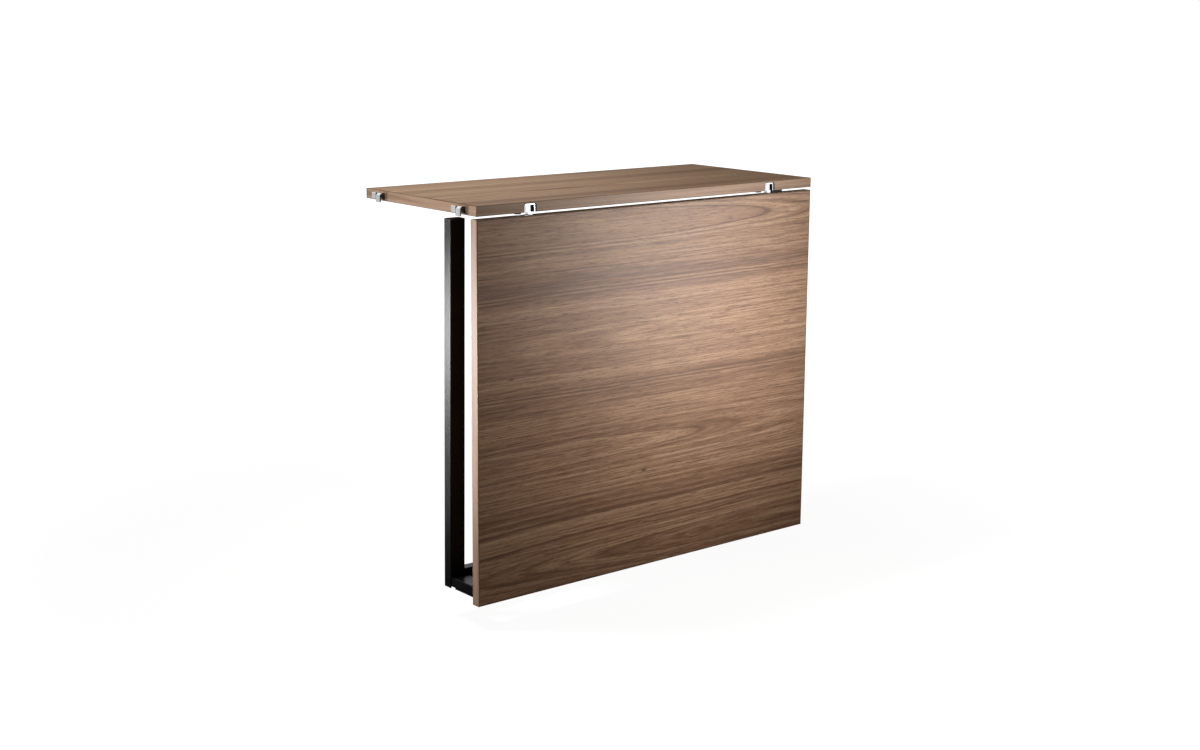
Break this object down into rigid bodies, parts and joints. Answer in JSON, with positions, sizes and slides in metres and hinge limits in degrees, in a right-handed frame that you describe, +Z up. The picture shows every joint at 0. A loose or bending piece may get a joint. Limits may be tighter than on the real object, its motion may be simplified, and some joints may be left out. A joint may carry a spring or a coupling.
{
  "type": "wall-hung drop-leaf table",
  "caption": "Wall-hung drop-leaf table: a veneered shelf on end hooks, with a hinged leaf hanging from its front edge and a folding tube leg frame behind the leaf.",
  "frame": {"origin": "middle of the shelf's rear edge face, which stands against the wall", "axes": "+X along the wall to the right as seen from the front, +Y towards the wall, +Z up"},
  "size_m": [0.8, 0.335, 0.6855],
  "materials": {
    "walnut_veneer": "satin lacquered veneer",
    "walnut_edge": "satin lacquered edge band",
    "polished_chrome": "polished plating",
    "zinc_steel": "zinc plated",
    "black_powder_coat": "satin powder coat",
    "black_plastic": "fine grained"
  },
  "bodies": {
    "shelf": {"shelf_panel": "walnut_veneer", "shelf_front_edge": "walnut_edge", "shelf_rear_edge": "walnut_edge", "shelf_left_edge": "walnut_edge", "shelf_right_edge": "walnut_edge", "hook_front_left": "polished_chrome", "hook_front_right": "polished_chrome", "hook_rear_left": "polished_chrome", "hook_rear_right": "polished_chrome", "hinge_housing_left": "polished_chrome", "hinge_housing_right": "polished_chrome", "hinge_pin_left": "zinc_steel", "hinge_pin_right": "zinc_steel", "hinge_spacer_left": "polished_chrome", "hinge_spacer_right": "polished_chrome", "housing_screws": "zinc_steel"},
    "leaf": {"leaf_panel": "walnut_veneer", "leaf_hinge_edge": "walnut_edge", "leaf_free_edge": "walnut_edge", "leaf_left_edge": "walnut_edge", "leaf_right_edge": "walnut_edge", "hinge_arm_left": "polished_chrome", "hinge_arm_right": "polished_chrome", "arm_screws": "zinc_steel", "leg_bracket_left": "black_powder_coat", "leg_bracket_right": "black_powder_coat", "bracket_screws": "zinc_steel"},
    "leg_frame": {"leg_tube_left": "black_powder_coat", "leg_tube_right": "black_powder_coat", "cross_rail": "black_powder_coat", "foot_cap_left": "black_plastic", "foot_cap_right": "black_plastic", "pivot_pin_left": "black_powder_coat", "pivot_pin_right": "black_powder_coat"}
  },
  "joints": [
    {"name": "leaf_fold", "type": "hinge", "parent": "shelf", "child": "leaf", "pos_m": [0, -0.32425, -0.00175], "axis": [-1, 0, 0], "range_deg": [0, 90]},
    {"name": "leg_swing", "type": "hinge", "parent": "leaf", "child": "leg_frame", "pos_m": [0, -0.242, -0.654], "axis": [-1, 0, 0], "range_deg": [0, 90.75]}
  ]
}
